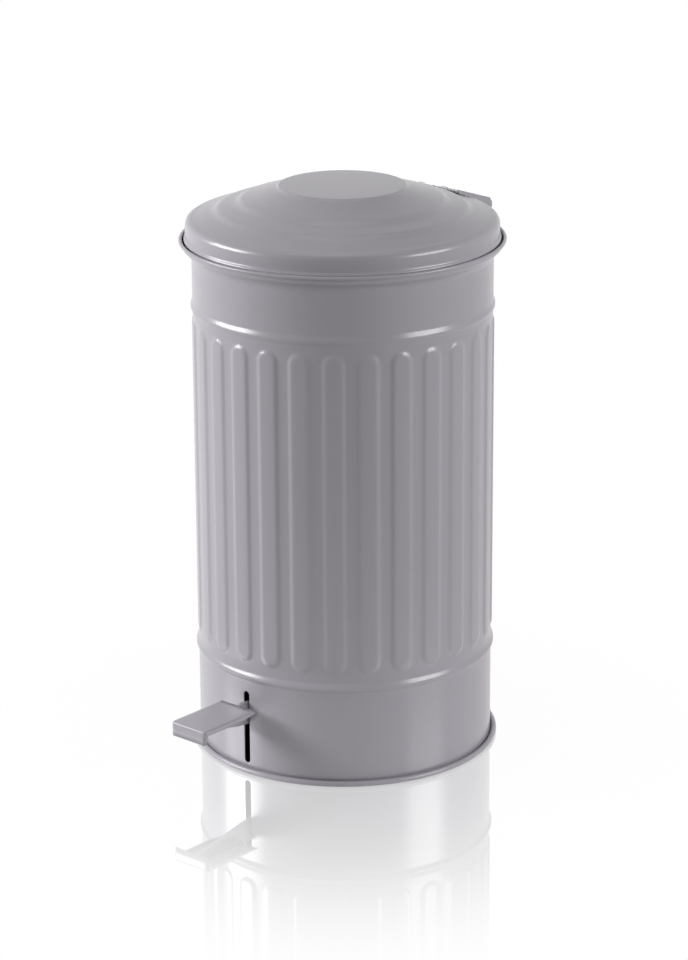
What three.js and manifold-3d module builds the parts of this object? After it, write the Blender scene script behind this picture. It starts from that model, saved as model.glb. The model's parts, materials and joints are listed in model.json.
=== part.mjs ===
// Pedal bin: ribbed steel tube on a base pan, domed lid on a rear hinge, foot pedal with a push rod, inner bucket.
// Millimetres, +Z up. The origin is on the tube's axis at the floor, the pedal points along -Y, the hinge is at +Y.
import * as THREE from "three";
import { mergeVertices } from "three/addons/utils/BufferGeometryUtils.js";
import Module from "manifold-3d";

const wasm = await Module();
wasm.setup();

// ---- Driving dimensions -------------------------------------------------------------------------------------

// Clearances
const seatGap = 0.3; // between pieces that rest on or lie against each other
const pinGap = 0.3; // round a pin or a rod in its hole
const swingGap = 0.6; // between a moving piece and its neighbour

// Tube
const tubeRadius = 140;
const tubeSheet = 1;
const rimHeight = 489.3; // centre of the rolled rim
const rimRoll = 1.9; // radius of the roll
const rimReach = 10; // the roll's centre stands this far outside the tube
const flareRise = 15.5;
const beadRise = 1.6;
const beadHalf = 4.3;
const lowerBead = 95.6;
const upperBeadDrop = 61.6; // upper bead below the rim

// Flutes
const fluteCount = 28;
const fluteLowerGap = 13.4; // between the lower bead's middle and the flutes
const fluteUpperGap = 10.2; // between the flutes and the upper bead's middle
const fluteCrown = 1; // crown above the plain tube
const fluteValley = 0.4; // valley below it
const fluteEnd = 11; // length of the rounded ends
const crownWidth = 12;
const fluteWidth = 24;
const fluteTurn = -1.05; // degrees from the X axis to a flute's middle

// Base pan
const panSheet = 1.2;
const lipRoll = 2.7;
const lipGap = 0.7; // between the tube and the lip

// Lid
const lidSheet = 1;
const lidGap = 2.3; // between the skirt and the rolled rim
const skirtSink = 3.3; // skirt's foot below the rim's centre
const skirtDrop = 18; // height of the skirt
const shoulderRadius = 6;
const discRadius = 60.5;
const discRise = 1.3;
const ringStep = 3.2; // extra drop at each pressed ring
const ringWidth = 5.8;
const outerRingInset = 27; // outer ring's foot, inwards from the skirt
const innerRingInset = 49.2;
const coneSlope = 18.5; // degrees

// Hinge
const pinRadius = 2.5;
const hingeReach = 25; // pin axis outside the tube
const hingeRise = 2.2; // pin axis above the rim's centre
const leafSheet = 2;
const leafWidth = 76;
const leafInset = 9.5; // leaf rivets inwards from the lid's shoulder
const leafOverlap = 18; // length of leaf round its rivets
const tabFoot = 13; // length of the crank tab's riveted foot
const tabSheet = 1.5;
const tabFirstTouch = 1.33; // the cap leaves the middle of the tab's edge at this multiple of the half turn
const pinCapLength = 3.5;
const pinCapWall = 2;
const leafTail = 9; // leaf beyond the pin axis
const cheekDepth = 17;
const cheekCorner = 3.2; // rounding of the cheeks' upper rear corners
const cheekOverRim = 1.2; // least height of the cheeks over the rolled rim
const bracketSheet = 2;
const bracketHeight = 24;
const bracketDrop = 3; // bracket's top below the flare
const armEye = 6; // radius of the bracket's eye round the pin
const leafRivetSpacing = 28;
const bracketRivetAngle = 7.5; // degrees off the back
const rivetRadius = 2;
const rivetHead = 4;
const rivetHeadHeight = 1.4;

// Pedal and lever
const slotWidth = 7;
const slotBottom = 9;
const slotTop = 81;
const pivotForward = 45; // pivot in front of the tube's axis
const pivotHeight = 46.8;
const pivotRadius = 3;
const leverSheet = 3;
const leverDepth = 22;
const leverRearDepth = 12;
const plateHeight = 70;
const plateWidth = 43.8;
const plateLength = 67.7;
const plateGap = 11.6; // between the tube and the foot plate
const plateSheet = 1.5;
const plateLip = 13.5;
const plateSide = 4.5;
const plateCorner = 5;
const pedalEarGap = 0.7;
const pedalEarSheet = 2;
const pedalFootWidth = 44;
const pedalFootLength = 32;
const pedalEye = 9; // radius of the bracket's ears round the pivot
const clipSheet = 1.2;
const clipWall = 2.5;

// Push rod
const rodRadius = 2.25;
const rodSide = 5.5; // beside the lever
const rodInset = 9; // rod's axis inside the tube's outside
const capRadius = 4.5;
const capLength = 11;
const lidOpening = 75; // degrees
const rodPushGap = 0.4; // least gap between cap and crank tab
const collarRadius = 5;
const collarHeight = 3;
const collarGap = 1.3;
const rodTail = 9; // rod below the lever's tab
const lowerGuide = 200;
const upperGuideDrop = 117.3; // upper guide below the rim
const guideWidth = 15;
const guideSheet = 1.5;
const guideFlange = 14;

// Platform and bucket
const platformTop = 90;
const platformSheet = 1.2;
const platformFlange = 9;
const bucketSheet = 1;
const bucketRodGap = 1.75; // between the bucket's rolled rim and the push rod
const bucketTaper = 9.4; // the mouth's radius less the base's
const bucketDrop = 95; // bucket's rim below the tube's rim
const bucketRoll = 2.3;
const bucketCorner = 6;
const bailGap = 2; // between the bucket's rim and the grip
const bailWire = 2;
const bailDrop = 10; // bail's pivot below the bucket's rim
const gripRadius = 4;
const gripSpan = 40; // degrees of the bail
const earWidth = 14;
const earHeight = 26;
const earSheet = 1.5;
const earRivetDrop = 10.9; // ear's rivet below the bail's pivot
const wireTail = 3; // bail wire beyond the bucket's wall

// ---- Places worked out from them ----------------------------------------------------------------------------

const radians = THREE.MathUtils.degToRad;
const tubeStands = panSheet + seatGap;
const tubeInside = tubeRadius - tubeSheet;
const upperBead = rimHeight - upperBeadDrop;
const fluteBottom = lowerBead + fluteLowerGap;
const fluteTop = upperBead - fluteUpperGap;
const clearInside = tubeInside - fluteValley;
const rimCentre = tubeRadius + rimReach;
const flareStart = rimHeight - flareRise;
const skirtRadius = rimCentre - rimRoll - lidGap;
const pinY = tubeRadius + hingeReach;
const pinZ = rimHeight + hingeRise;
const rodY = tubeRadius - rodInset;
const crankReach = pinY - rodY;
const crankAngle = radians(lidOpening / 2);
const capTop = pinZ - crankReach * Math.tan(crankAngle); // centre of the cap's dome
const liftPerTurn = (pinZ - capTop) / crankAngle;
const leverRear = rodY + pivotForward;
const leverTilt = Math.atan2(plateHeight - plateSheet - seatGap - leverDepth / 3 - pivotHeight,
  tubeRadius + plateGap - pivotForward);
const bucketFoot = platformTop + seatGap;
const bucketRim = rimHeight - bucketDrop;
const bucketMouth = rodY - rodRadius - bucketRodGap - 2 * bucketRoll + bucketSheet;
const bucketBase = bucketMouth - bucketTaper;
const bailHeight = bucketRim - bailDrop;

// ---- Materials ----------------------------------------------------------------------------------------------

const paint = new THREE.MeshStandardMaterial({ color: 0xa9a6ab, roughness: 0.42, metalness: 0.15 });
const zinc = new THREE.MeshStandardMaterial({ color: 0xb4b7ba, roughness: 0.35, metalness: 0.9 });
const galvanized = new THREE.MeshStandardMaterial({ color: 0xa6abae, roughness: 0.5, metalness: 0.85 });
const nylon = new THREE.MeshStandardMaterial({ color: 0x222325, roughness: 0.6, metalness: 0 });

// ---- Helpers ------------------------------------------------------------------------------------------------

const can = new THREE.Group();

function add(name, geometry, material, parent = can) {
  const mesh = new THREE.Mesh(geometry, material);
  mesh.name = name;
  parent.add(mesh);
  return mesh;
}

// Shared corners only, so that the surface is closed.
function weld(geometry) {
  geometry.deleteAttribute("normal");
  geometry.deleteAttribute("uv");
  return mergeVertices(geometry, 1e-4);
}

function toSolid(geometry) {
  const welded = weld(geometry);
  return new wasm.Manifold(new wasm.Mesh({
    numProp: 3,
    vertProperties: new Float32Array(welded.attributes.position.array),
    triVerts: new Uint32Array(welded.index.array),
  }));
}

function toGeometry(solid) {
  const mesh = solid.getMesh();
  const geometry = new THREE.BufferGeometry();
  geometry.setAttribute("position", new THREE.BufferAttribute(mesh.vertProperties, 3));
  geometry.setIndex(new THREE.BufferAttribute(mesh.triVerts, 1));
  geometry.computeVertexNormals();
  return geometry;
}

const joined = (...shapes) => toGeometry(shapes.map(toSolid).reduce((a, b) => a.add(b)));
const cut = (shape, ...cutters) => toGeometry(cutters.map(toSolid).reduce((a, b) => a.subtract(b), toSolid(shape)));
const common = (a, b) => toGeometry(toSolid(a).intersect(toSolid(b)));

// A body of revolution about Z. The profile is a list of [radius, height], anticlockwise.
function turned(profile, segments) {
  const points = profile.map(([r, z]) => new THREE.Vector2(r, z));
  if (profile[0][0] > 0) points.push(points[0].clone());
  return weld(new THREE.LatheGeometry(points, segments).rotateX(Math.PI / 2));
}

// A plain bar along X, Y or Z, centred on a point.
function rod(radius, length, axis, [x, y, z], segments = 20) {
  const bar = new THREE.CylinderGeometry(radius, radius, length, segments);
  if (axis === "x") bar.rotateZ(-Math.PI / 2);
  if (axis === "z") bar.rotateX(Math.PI / 2);
  return bar.translate(x, y, z);
}

function block([x0, y0, z0], [x1, y1, z1]) {
  const box = new THREE.BoxGeometry(x1 - x0, y1 - y0, z1 - z0);
  return box.translate((x0 + x1) / 2, (y0 + y1) / 2, (z0 + z1) / 2);
}

// A plate across X whose outline is drawn in Y and Z.
function sidePlate(shape, thickness, x = 0) {
  const plate = new THREE.ExtrudeGeometry(shape, { depth: thickness, bevelEnabled: false, curveSegments: 8 });
  plate.translate(0, 0, -thickness / 2);
  const [ex, ey, ez] = [[1, 0, 0], [0, 1, 0], [0, 0, 1]].map((v) => new THREE.Vector3(...v));
  plate.applyMatrix4(new THREE.Matrix4().makeBasis(ey, ez, ex));
  return plate.translate(x, 0, 0);
}

function outline(points) {
  return new THREE.Shape(points.map(([a, b]) => new THREE.Vector2(a, b)));
}

// Points on an arc, both ends included, angles in radians.
function arc([r, z], radius, from, to, steps) {
  return Array.from({ length: steps + 1 }, (_, i) => {
    const angle = from + ((to - from) * i) / steps;
    return [r + radius * Math.cos(angle), z + radius * Math.sin(angle)];
  });
}

// A path moved sideways by a distance, to its left when that is positive.
function shifted(path, distance) {
  return path.map(([r, z], i) => {
    const [r0, z0] = path[Math.max(i - 1, 0)];
    const [r1, z1] = path[Math.min(i + 1, path.length - 1)];
    const length = Math.hypot(r1 - r0, z1 - z0);
    return [Math.max(r - ((z1 - z0) / length) * distance, 0), z + ((r1 - r0) / length) * distance];
  });
}

// A rivet along Z: its shank with a head at each end.
function rivet(grip) {
  const half = grip / 2 + seatGap;
  const low = -half - rivetHeadHeight;
  const high = half + rivetHeadHeight;
  return turned([[0, low], [rivetHead * 0.7, low], [rivetHead, -half], [rivetRadius, -half], [rivetRadius, half],
    [rivetHead, half], [rivetHead * 0.7, high], [0, high]], 12);
}

const rivetHole = (length) => rod(rivetRadius + pinGap, length, "z", [0, 0, 0], 12);

// ---- Tube ---------------------------------------------------------------------------------------------------

// How far the sheet is pressed out at a height and an angle from a flute's middle, in millimetres along the wall.
function pressing(height, along) {
  const depth = THREE.MathUtils.clamp(Math.min(height - fluteBottom, fluteTop - height) / fluteEnd, 0, 1);
  const flank = (fluteWidth - crownWidth) / 2;
  const across = THREE.MathUtils.clamp((fluteWidth / 2 - Math.abs(along)) / flank, 0, 1);
  return depth * (across * (fluteCrown + fluteValley) - fluteValley);
}

function bead(height) {
  return [[0, -beadHalf], [beadRise, -beadHalf * 0.4], [beadRise, beadHalf * 0.4], [0, beadHalf]].map(([out, up]) => [
    tubeRadius + out, height + up]);
}

function tubeProfile() {
  const fluteRows = [fluteBottom, fluteBottom + fluteEnd, fluteTop - fluteEnd, fluteTop];
  const flare = [
    [tubeRadius - tubeSheet / 2, flareStart],
    [tubeRadius + rimReach * 0.15, flareStart + flareRise * 0.3],
  ];
  const [lastR, lastZ] = flare[1];
  const lean = Math.atan2(rimHeight - lastZ, rimCentre - lastR);
  const entry = Math.asin(tubeSheet / 2 / rimRoll);
  const roll = arc([rimCentre, rimHeight], rimRoll, lean + Math.PI + entry, lean + 3 * Math.PI - entry, 7);
  return [
    [tubeRadius, tubeStands], ...bead(lowerBead), ...fluteRows.map((z) => [tubeRadius, z]), ...bead(upperBead),
    ...shifted(flare, -tubeSheet / 2), ...roll, ...shifted(flare, tubeSheet / 2).reverse(),
    ...fluteRows.map((z) => [tubeInside, z]).reverse(), [tubeInside, tubeStands],
  ];
}

// The lathe's rings are re-spaced so that four of their points fall on each flute's crown and foot edges.
function fluted(geometry) {
  const pitch = (2 * Math.PI) / fluteCount;
  const stops = [-fluteWidth / 2, -crownWidth / 2, crownWidth / 2, fluteWidth / 2].map((w) => w / tubeRadius);
  const position = geometry.attributes.position;
  for (let i = 0; i < position.count; i++) {
    const [x, y, z] = [position.getX(i), position.getY(i), position.getZ(i)];
    const radius = Math.hypot(x, y);
    const ring = Math.round(((Math.atan2(y, x) + 2 * Math.PI) / pitch) * stops.length);
    const offset = stops[ring % stops.length];
    const angle = Math.floor(ring / stops.length) * pitch + offset + radians(fluteTurn);
    const out = radius + pressing(z, offset * tubeRadius);
    position.setXYZ(i, out * Math.cos(angle), out * Math.sin(angle), z);
  }
  return geometry;
}

function slotCutter() {
  const half = slotWidth / 2;
  const slot = new THREE.Shape();
  slot.absarc(0, slotTop - half, half, 0, Math.PI);
  slot.absarc(0, slotBottom + half, half, Math.PI, 2 * Math.PI);
  const cutter = new THREE.ExtrudeGeometry(slot, { depth: 2 * rimReach, bevelEnabled: false, curveSegments: 8 });
  return cutter.rotateX(Math.PI / 2).translate(0, -tubeRadius + rimReach, 0);
}

// The back rivets' places: an angle off the back and a height each.
const bracketTop = flareStart - bracketDrop;
const bracketRivets = [-1, 1].flatMap((side) => [0.25, 0.75].map((share) => ({
  turn: radians(side * bracketRivetAngle),
  height: bracketTop - bracketHeight * share,
})));
const bracketOutside = tubeRadius + seatGap + bracketSheet;

function placedAtBack(geometry, { turn, height }) {
  const middle = (tubeInside + bracketOutside) / 2;
  return geometry.rotateX(-Math.PI / 2).translate(0, middle, height).rotateZ(turn);
}

function makeTube() {
  const shell = fluted(turned(tubeProfile(), fluteCount * 4));
  const holes = bracketRivets.map((place) => placedAtBack(rivetHole(20), place));
  add("body_shell", cut(shell, slotCutter(), ...holes), paint);
}

// ---- Base pan -----------------------------------------------------------------------------------------------

function makeBase() {
  const lipCentre = tubeRadius + lipGap + lipRoll;
  const lip = arc([lipCentre, lipRoll], lipRoll, -Math.PI / 2, Math.PI, 7);
  add("base_pan", turned([[0, 0], ...lip, [lipCentre - lipRoll, panSheet], [0, panSheet]], 56), paint);
}

// ---- Lid ----------------------------------------------------------------------------------------------------

const skirtFoot = rimHeight - skirtSink;
const shoulderTop = skirtFoot + skirtDrop + shoulderRadius * 0.9;
const shoulderInner = skirtRadius - shoulderRadius;
const coneFall = Math.tan(radians(coneSlope));

// The lid's outside from the shoulder inwards to the disc: a cone with a small extra rise at each ring.
function conePath() {
  const path = [[shoulderInner, shoulderTop]];
  const climb = (radius, extra = 0) => {
    const [r, z] = path[path.length - 1];
    path.push([radius, z + (r - radius) * coneFall + extra]);
  };
  for (const inset of [outerRingInset, innerRingInset]) {
    climb(skirtRadius - inset);
    climb(skirtRadius - inset - ringWidth * 0.5, ringStep * 0.6);
    climb(skirtRadius - inset - ringWidth, ringStep * 0.3);
    climb(skirtRadius - inset - ringWidth * 1.8, -ringStep * 0.2);
  }
  climb(discRadius + 1.2, -0.2);
  climb(discRadius, -0.2);
  return path;
}

const lidCone = conePath();
const discEdge = lidCone[lidCone.length - 1][1];

function lidPath() {
  const shoulder = arc([shoulderInner, shoulderTop - shoulderRadius], shoulderRadius, radians(8), radians(75), 3);
  return [[skirtRadius, skirtFoot], ...shoulder, ...lidCone, [0, discEdge + discRise]];
}

// A frame on the lid's back slope: y along the slope towards the back, z off it.
const slopeY = shoulderInner - leafInset;
const slopeZ = shoulderTop + leafInset * coneFall;

function onSlope(geometry) {
  return geometry.rotateX(-radians(coneSlope)).translate(0, slopeY, slopeZ);
}

const leafLow = seatGap;
const coneSag = (leafRivetSpacing / 2 + rivetHead + 1) ** 2 / slopeY / 2 * coneFall;
const tabHigh = -lidSheet - seatGap - coneSag;
const leafGrip = leafLow + leafSheet - tabHigh + tabSheet;
const leafRivetMiddle = (leafLow + leafSheet + tabHigh - tabSheet) / 2;
const leafRivetX = [-1, 1].map((side) => (side * leafRivetSpacing) / 2);

function leafHoles() {
  return leafRivetX.map((x) => onSlope(rivetHole(20).translate(x, 0, 0)));
}

function makeLid() {
  const path = lidPath();
  const inner = shifted(path, lidSheet);
  inner[0] = [skirtRadius - lidSheet, skirtFoot];
  inner[inner.length - 1][0] = 0;
  add("lid_shell", cut(turned([...path, ...inner.reverse()], 48), ...leafHoles()), paint);
}

// ---- Hinge --------------------------------------------------------------------------------------------------

// Height of the lid's outside at a distance from its axis, on the cone or on the shoulder's curve.
function lidTopAt(radius) {
  const off = Math.min(Math.max(radius - shoulderInner, 0), shoulderRadius);
  const cone = Math.max(shoulderInner - radius, 0) * coneFall;
  return shoulderTop + cone - shoulderRadius + Math.sqrt(shoulderRadius ** 2 - off ** 2);
}

// The cheeks' lower edge follows the lid's shoulder, passes over the rim and then hangs round the pin.
function makeLeaf() {
  const half = leafWidth / 2;
  const inside = half - leafSheet;
  const rear = pinY + leafTail * 0.95;
  const back = (rear - cheekCorner - slopeY) / Math.cos(radians(coneSlope));
  const plate = onSlope(block([-half, -leafOverlap / 2, leafLow], [half, back, leafLow + leafSheet]));
  const topAt = (y) => slopeZ - (y - slopeY) * coneFall + leafLow + leafSheet * 0.7;
  const start = slopeY - leafOverlap / 2 + leafSheet;
  const skirtY = Math.sqrt(skirtRadius ** 2 - inside ** 2);
  const along = [start, slopeY, skirtY - 6, skirtY - 3.5, skirtY - 1.5, skirtY - 0.3];
  const shoulder = along.map((y) => [y, lidTopAt(Math.hypot(inside, y)) + seatGap + 0.2]);
  const overRim = rimHeight + rimRoll + cheekOverRim;
  const front = pinY - cheekDepth * 0.65;
  const low = topAt(rear) - cheekDepth;
  const cheek = outline([
    ...shoulder, [skirtY + 0.6, overRim + 3], [skirtY + 1.6, overRim], [front, overRim],
    [front, low + 6], [front + 4, low + 1], [front + 9, low], [rear - 6, low + 1], [rear - 1.5, low + 6],
    [rear, low + 10], [rear, topAt(rear) - cheekCorner], [rear - cheekCorner * 0.3, topAt(rear) - cheekCorner * 0.4],
    [rear - cheekCorner, topAt(rear - cheekCorner)], [start, topAt(start)],
  ].reverse());
  const cheeks = [-1, 1].map((side) => sidePlate(cheek, leafSheet, (side * (leafWidth - leafSheet)) / 2));
  const hole = rod(pinRadius + pinGap, leafWidth + 10, "x", [0, pinY, pinZ]);
  add("lid_hinge_leaf", cut(joined(plate, ...cheeks), hole, ...leafHoles()), paint);
  leafRivetX.forEach((x, i) => {
    add(`leaf_rivet_${i + 1}`, onSlope(rivet(leafGrip).translate(x, 0, leafRivetMiddle)), zinc);
  });
}

// Where the centre of the rod's cap stands in the lid's own frame when the lid has opened by a turn.
function capInLid(turn) {
  const [y, z] = [-crankReach, capTop - pinZ + liftPerTurn * turn];
  return [pinY + y * Math.cos(turn) - z * Math.sin(turn), pinZ + y * Math.sin(turn) + z * Math.cos(turn)];
}

// A riveted foot under the lid with a web down to the rod's cap. The web's lower edge follows the cap.
function makeCrankTab() {
  const half = leafRivetSpacing / 2 + rivetHead + 1;
  const foot = onSlope(block([-half, -tabFoot / 2, tabHigh - tabSheet], [half, tabFoot / 2, tabHigh]));
  const steps = 4;
  const track = Array.from({ length: steps + 1 }, (_, i) =>
    capInLid(crankAngle * (tabFirstTouch + ((2 - tabFirstTouch) * i) / steps)));
  const edge = shifted(track, -capRadius - rodPushGap);
  const roof = (y) => slopeZ - (y - slopeY) * coneFall + tabHigh - tabSheet / 2;
  const near = edge[0][0] + 1.8;
  const far = edge[steps][0] - capRadius;
  const web = outline([
    [near, edge[0][1] + 0.5], ...edge, [far, edge[steps][1] - 1], [far, roof(far)], [near, roof(near)],
  ]);
  add("lid_crank_tab", cut(joined(foot, sidePlate(web, leafSheet, rodSide)), ...leafHoles()), zinc);
}

function makePin() {
  const end = leafWidth / 2 + swingGap + pinCapLength;
  add("hinge_pin", rod(pinRadius, 2 * end - 2, "x", [0, pinY, pinZ]), zinc);
  [-1, 1].forEach((side) => {
    const bore = pinRadius + 0.05;
    const outside = pinRadius + pinCapWall;
    const cap = turned([[0, pinCapLength - 0.8], [bore, pinCapLength - 0.8], [bore, 0], [outside, 0],
      [outside, pinCapLength - 1.2], [outside - 1.2, pinCapLength], [0, pinCapLength]], 20);
    cap.rotateY((side * Math.PI) / 2).translate(side * (leafWidth / 2 + swingGap), pinY, pinZ);
    add(`hinge_pin_cap_${side < 0 ? "left" : "right"}`, cap, paint);
  });
}

// A curved plate on the tube's back and two arms that reach out under the rim and up to the pin.
function makeBracket() {
  const half = leafWidth / 2 - leafSheet - swingGap;
  const low = bracketTop - bracketHeight;
  const saddle = cut(
    rod(bracketOutside, bracketHeight, "z", [0, 0, (low + bracketTop) / 2], 96),
    rod(bracketOutside - bracketSheet, bracketHeight + 2, "z", [0, 0, (low + bracketTop) / 2], 96),
  );
  const back = common(saddle, block([-half, 0, low - 1], [half, bracketOutside + 1, bracketTop + 1]));
  const wall = Math.sqrt((tubeRadius + seatGap) ** 2 - half ** 2);
  const eye = arc([pinY, pinZ], armEye, radians(-20), radians(190), 8);
  const arm = outline([[wall, low + 2], [pinY - 6, low + bracketHeight * 0.7], ...eye,
    [pinY - armEye - 3, rimHeight - 8], [rimCentre + rimRoll * 2, bracketTop], [wall, bracketTop - 1]]);
  const arms = [-1, 1].map((side) => sidePlate(arm, bracketSheet, side * (half - bracketSheet / 2)));
  const core = rod(tubeRadius + seatGap, bracketHeight * 3, "z", [0, 0, (low + bracketTop) / 2], 96);
  const hole = rod(pinRadius + pinGap, leafWidth + 10, "x", [0, pinY, pinZ]);
  const holes = bracketRivets.map((place) => placedAtBack(rivetHole(20), place));
  add("body_hinge_bracket", cut(joined(back, ...arms), core, hole, ...holes), paint);
  bracketRivets.forEach((place, i) => {
    add(`bracket_rivet_${i + 1}`, placedAtBack(rivet(bracketOutside - tubeInside), place), zinc);
  });
}

// ---- Pedal --------------------------------------------------------------------------------------------------

const plateBack = -(tubeRadius + plateGap);
const plateFront = plateBack - plateLength;
const leverTabSheet = 2;
const leverEnd = leverRear + rodRadius + 3;
const tabTop = leverRearDepth / 2 + leverTabSheet;

// The lever in its own frame: y along the bar, positive to the rear, z up, the pivot at 0.
function leverOutline() {
  const toBar = (y, z) => {
    const [dy, dz] = [y + pivotForward, z - pivotHeight];
    return [dy * Math.cos(leverTilt) - dz * Math.sin(leverTilt), dy * Math.sin(leverTilt) + dz * Math.cos(leverTilt)];
  };
  const under = plateHeight - plateSheet - seatGap;
  const shelf = plateBack + swingGap;
  const nose = plateFront + plateSheet + swingGap + 4;
  const deep = leverDepth / 2;
  const [shelfAlong] = toBar(shelf, under);
  return outline([
    toBar(nose, under), toBar(nose, under - 6), [shelfAlong, -deep], [0, -deep], [leverEnd, -leverRearDepth / 2],
    [leverEnd, leverRearDepth / 2], [0, deep], [shelfAlong, deep], toBar(shelf, under),
  ]);
}

function makePedal() {
  const pedal = new THREE.Group();
  pedal.position.set(0, -pivotForward, pivotHeight);
  pedal.rotation.x = -leverTilt;
  can.add(pedal);
  const bar = sidePlate(leverOutline(), leverSheet);
  const tab = block([-leverSheet / 2, leverRear - 7, tabTop - leverTabSheet],
    [rodSide + rodRadius + 4, leverEnd, tabTop]);
  const fork = block([rodSide - rodRadius - swingGap, leverRear - rodRadius - swingGap * 2, -leverDepth],
    [rodSide + rodRadius + swingGap, leverEnd + 1, leverDepth]);
  const pivotHole = rod(pivotRadius + pinGap, leverSheet * 3, "x", [0, 0, 0]);
  add("pedal_lever", cut(joined(bar, tab), fork, pivotHole), paint, pedal);
  makeFootPlate();
}

function makeFootPlate() {
  const half = plateWidth / 2;
  const bend = 2.5;
  const top = plateHeight;
  const under = top - plateSheet;
  const fold = arc([plateFront + bend, top - bend], bend, Math.PI / 2, Math.PI, 4);
  const inside = arc([plateFront + bend, top - bend], bend - plateSheet, Math.PI, Math.PI / 2, 3);
  const section = outline([[plateBack, top], ...fold, [plateFront, top - plateLip],
    [plateFront + plateSheet, top - plateLip], ...inside, [plateBack, under]]);
  const sides = [-1, 1].map((side) => block(
    [side > 0 ? half - plateSheet : -half, plateFront + bend, top - plateSide],
    [side > 0 ? half : -half + plateSheet, plateBack, top - plateSheet / 2],
  ));
  const face = new THREE.Shape();
  face.moveTo(half, top + 1);
  face.lineTo(-half, top + 1);
  face.absarc(-half + plateCorner, top - plateLip + plateCorner, plateCorner, Math.PI, Math.PI * 1.5);
  face.absarc(half - plateCorner, top - plateLip + plateCorner, plateCorner, Math.PI * 1.5, Math.PI * 2);
  const round = new THREE.ExtrudeGeometry(face, { depth: plateLength + 2, bevelEnabled: false, curveSegments: 5 });
  round.rotateX(Math.PI / 2).translate(0, plateBack + 1, 0);
  add("pedal_plate", common(joined(sidePlate(section, plateWidth), ...sides), round), paint);
}

// A folded bracket on the pan: a foot and two ears with the lever between them.
function makePedalBracket() {
  const floor = panSheet + seatGap;
  const inner = leverSheet / 2 + pedalEarGap;
  const foot = block([-pedalFootWidth / 2, -pivotForward - pedalFootLength / 2, floor],
    [pedalFootWidth / 2, -pivotForward + pedalFootLength / 2, floor + pedalEarSheet]);
  const eye = arc([-pivotForward, pivotHeight], pedalEye, radians(10), radians(170), 7);
  const ear = outline([
    [-pivotForward - pedalFootLength / 2, floor + 1], [-pivotForward + pedalFootLength / 2, floor + 1], ...eye,
  ]);
  const ears = [-1, 1].map((side) => sidePlate(ear, pedalEarSheet, side * (inner + pedalEarSheet / 2)));
  const hole = rod(pivotRadius + pinGap, 40, "x", [0, -pivotForward, pivotHeight]);
  add("pedal_bracket", cut(joined(foot, ...ears), hole), zinc);
  const out = inner + pedalEarSheet + seatGap;
  add("pedal_pivot_pin", rod(pivotRadius, 2 * (out + clipSheet + 2), "x", [0, -pivotForward, pivotHeight]), zinc);
  [-1, 1].forEach((side) => {
    const bore = pivotRadius + 0.05;
    const [low, high] = [-clipSheet / 2, clipSheet / 2];
    const wide = pivotRadius + clipWall;
    const ring = turned([[bore, low], [wide, low], [wide, high], [bore, high]], 20);
    ring.rotateY(Math.PI / 2).translate(side * (out + high), -pivotForward, pivotHeight);
    add(`pedal_pivot_clip_${side < 0 ? "left" : "right"}`, ring, zinc);
  });
}

// ---- Push rod -----------------------------------------------------------------------------------------------

// The lever's tab where the rod passes it, at rest.
const leverTabZ = pivotHeight - leverRear * Math.tan(leverTilt) + tabTop / Math.cos(leverTilt);

function makeRod() {
  const top = capTop - capRadius * 0.8;
  const low = leverTabZ - rodTail;
  add("push_rod", rod(rodRadius, top - low, "z", [rodSide, rodY, (top + low) / 2], 16), zinc);
  const bore = rodRadius + 0.05;
  const dome = arc([0, 0], capRadius, radians(15), radians(75), 3);
  const cap = turned([[0, top - capTop + seatGap], [bore, top - capTop + seatGap], [bore, -capLength],
    [capRadius, -capLength], ...dome, [0, capRadius]], 16);
  add("rod_cap", cap.translate(rodSide, rodY, capTop), nylon);
  const collar = turned([[bore, 0], [collarRadius, 0], [collarRadius, collarHeight], [bore, collarHeight]], 16);
  add("rod_collar", collar.translate(rodSide, rodY, leverTabZ + collarGap), zinc);
}

// Each guide is an angle: a flange against the wall and a shelf with a hole for the rod.
function makeGuides() {
  [lowerGuide, rimHeight - upperGuideDrop].forEach((height, i) => {
    const inside = clearInside - seatGap;
    const low = [rodSide - guideWidth / 2, rodY - rodRadius - 3, height];
    const shelf = block(low, [rodSide + guideWidth / 2, tubeRadius, height + guideSheet]);
    const flange = block([low[0], inside - 3, height - guideFlange],
      [rodSide + guideWidth / 2, tubeRadius, height + 1]);
    const hollow = rod(inside - guideSheet, guideFlange * 2, "z", [0, 0, height - guideFlange], 96);
    const bound = rod(inside, guideFlange * 4, "z", [0, 0, height], 96);
    const hole = rod(rodRadius + pinGap, 20, "z", [rodSide, rodY, height], 16);
    const angle = common(joined(shelf, cut(flange, hollow)), bound);
    add(`rod_guide_${i + 1}`, cut(angle, hole), zinc);
  });
}

// ---- Platform and bucket ------------------------------------------------------------------------------------

function makePlatform() {
  const edge = tubeInside - seatGap;
  const profile = [[0, platformTop - platformSheet], [edge - platformSheet, platformTop - platformSheet],
    [edge - platformSheet, platformTop - platformFlange], [edge, platformTop - platformFlange],
    [edge, platformTop - 1], [edge - 1, platformTop], [0, platformTop]];
  const hole = rod(rodRadius + pinGap, 20, "z", [rodSide, rodY, platformTop], 16);
  add("bucket_platform", cut(turned(profile, 56), hole), galvanized);
}

const bucketSlope = bucketTaper / (bucketRim - bucketFoot);
const bucketRadiusAt = (height) => bucketBase + (height - bucketFoot) * bucketSlope;

function earHoles(side, depth) {
  const x = side * bucketRadiusAt(bailHeight);
  return [
    rod(bailWire + pinGap, depth, "x", [x, 0, bailHeight], 14),
    rod(rivetRadius + pinGap, depth, "x", [x, 0, bailHeight - earRivetDrop], 14),
  ];
}

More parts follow.
